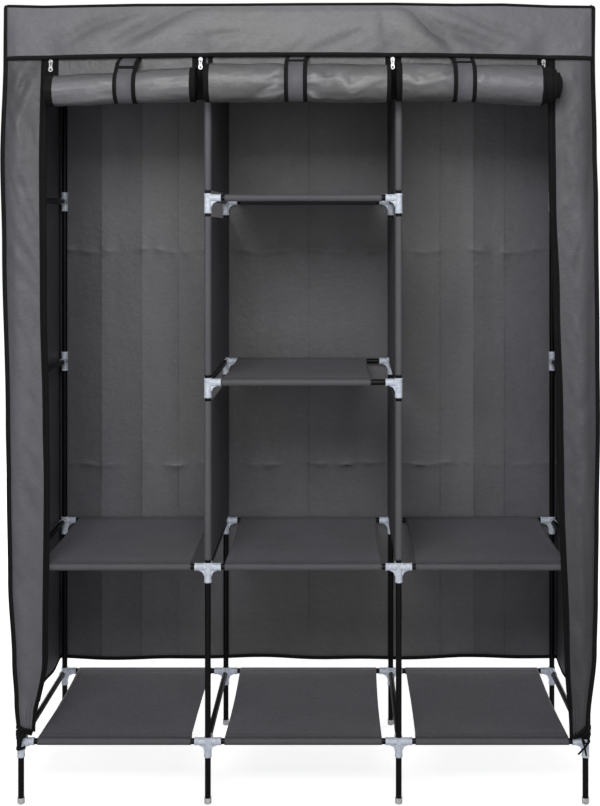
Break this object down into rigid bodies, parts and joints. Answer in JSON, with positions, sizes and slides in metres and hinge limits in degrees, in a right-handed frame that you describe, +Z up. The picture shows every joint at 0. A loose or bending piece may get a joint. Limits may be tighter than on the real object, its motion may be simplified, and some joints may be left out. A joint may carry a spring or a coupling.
{
  "type": "portable fabric wardrobe",
  "caption": "Free-standing tube-frame wardrobe with a fabric cover, fabric shelves and partitions, hanging bays either side and doors rolled up under the header.",
  "frame": {"origin": "on the floor, under the middle of the wardrobe's overall box", "axes": "+Z up, +Y to the back, +X to the right for someone facing the doors"},
  "size_m": [1.3021, 0.5391, 1.7488],
  "materials": {
    "tube": "smooth black powder coat, semi-gloss",
    "frame": "black tubes in pale bluish-white moulded connectors",
    "foot": "pale translucent moulded plastic",
    "shelf_cloth": "dark grey non-woven cloth with stitched sleeves",
    "cover_cloth": "dark grey non-woven cloth bound in black",
    "strap": "grey cloth strap bound in black",
    "zip": "bright nickel-plated zinc"
  },
  "bodies": {
    "wardrobe": {"post_front_left_outer": "tube", "foot_front_left_outer": "foot", "post_front_left_inner": "tube", "foot_front_left_inner": "foot", "post_front_right_inner": "tube", "foot_front_right_inner": "foot", "post_front_right_outer": "tube", "foot_front_right_outer": "foot", "post_back_left_outer": "tube", "foot_back_left_outer": "foot", "post_back_left_inner": "tube", "foot_back_left_inner": "foot", "post_back_right_inner": "tube", "foot_back_right_inner": "foot", "post_back_right_outer": "tube", "foot_back_right_outer": "foot", "base_frame": "frame", "lower_frame": "frame", "centre_frame_middle": "frame", "centre_frame_upper": "frame", "top_frame": "frame", "side_brace_left_middle": "frame", "side_brace_left_upper": "frame", "hanging_rail_left": "tube", "side_brace_right_middle": "frame", "side_brace_right_upper": "frame", "hanging_rail_right": "tube", "shelf_base_left": "shelf_cloth", "shelf_lower_left": "shelf_cloth", "shelf_base_centre": "shelf_cloth", "shelf_lower_centre": "shelf_cloth", "shelf_base_right": "shelf_cloth", "shelf_lower_right": "shelf_cloth", "shelf_middle_centre": "shelf_cloth", "shelf_upper_centre": "shelf_cloth", "partition_left_lower": "shelf_cloth", "partition_left_middle": "shelf_cloth", "partition_left_upper": "shelf_cloth", "partition_right_lower": "shelf_cloth", "partition_right_middle": "shelf_cloth", "partition_right_upper": "shelf_cloth", "cover_header": "cover_cloth", "cover_roof": "cover_cloth", "cover_back": "cover_cloth", "cover_side_left": "cover_cloth", "cover_side_right": "cover_cloth", "door_roll_left": "cover_cloth", "roll_strap_left": "strap", "door_roll_centre": "cover_cloth", "roll_strap_centre": "strap", "door_roll_right": "cover_cloth", "roll_strap_right": "strap"},
    "slider_left_outer": {"zip_slider_left_outer": "zip"},
    "pull_left_outer": {"zip_pull_left_outer": "zip"},
    "slider_left_inner": {"zip_slider_left_inner": "zip"},
    "pull_left_inner": {"zip_pull_left_inner": "zip"},
    "slider_right_inner": {"zip_slider_right_inner": "zip"},
    "pull_right_inner": {"zip_pull_right_inner": "zip"},
    "slider_right_outer": {"zip_slider_right_outer": "zip"},
    "pull_right_outer": {"zip_pull_right_outer": "zip"}
  },
  "joints": [
    {"name": "zip_slide_left_outer", "type": "slide", "parent": "wardrobe", "child": "slider_left_outer", "axis": [0, 0, -1], "range_m": [0, 0.012]},
    {"name": "pull_swing_left_outer", "type": "hinge", "parent": "slider_left_outer", "child": "pull_left_outer", "pos_m": [-0.5489, -0.1937, 1.6199], "axis": [-1, 0, 0], "range_deg": [0, 145]},
    {"name": "zip_slide_left_inner", "type": "slide", "parent": "wardrobe", "child": "slider_left_inner", "axis": [0, 0, -1], "range_m": [0, 0.012]},
    {"name": "pull_swing_left_inner", "type": "hinge", "parent": "slider_left_inner", "child": "pull_left_inner", "pos_m": [-0.223, -0.1937, 1.6252], "axis": [-1, 0, 0], "range_deg": [0, 145]},
    {"name": "zip_slide_right_inner", "type": "slide", "parent": "wardrobe", "child": "slider_right_inner", "axis": [0, 0, -1], "range_m": [0, 0.012]},
    {"name": "pull_swing_right_inner", "type": "hinge", "parent": "slider_right_inner", "child": "pull_right_inner", "pos_m": [0.195, -0.1937, 1.6255], "axis": [-1, 0, 0], "range_deg": [0, 145]},
    {"name": "zip_slide_right_outer", "type": "slide", "parent": "wardrobe", "child": "slider_right_outer", "axis": [0, 0, -1], "range_m": [0, 0.006]},
    {"name": "pull_swing_right_outer", "type": "hinge", "parent": "slider_right_outer", "child": "pull_right_outer", "pos_m": [0.5232, -0.1937, 1.6205], "axis": [-1, 0, 0], "range_deg": [0, 145]}
  ]
}
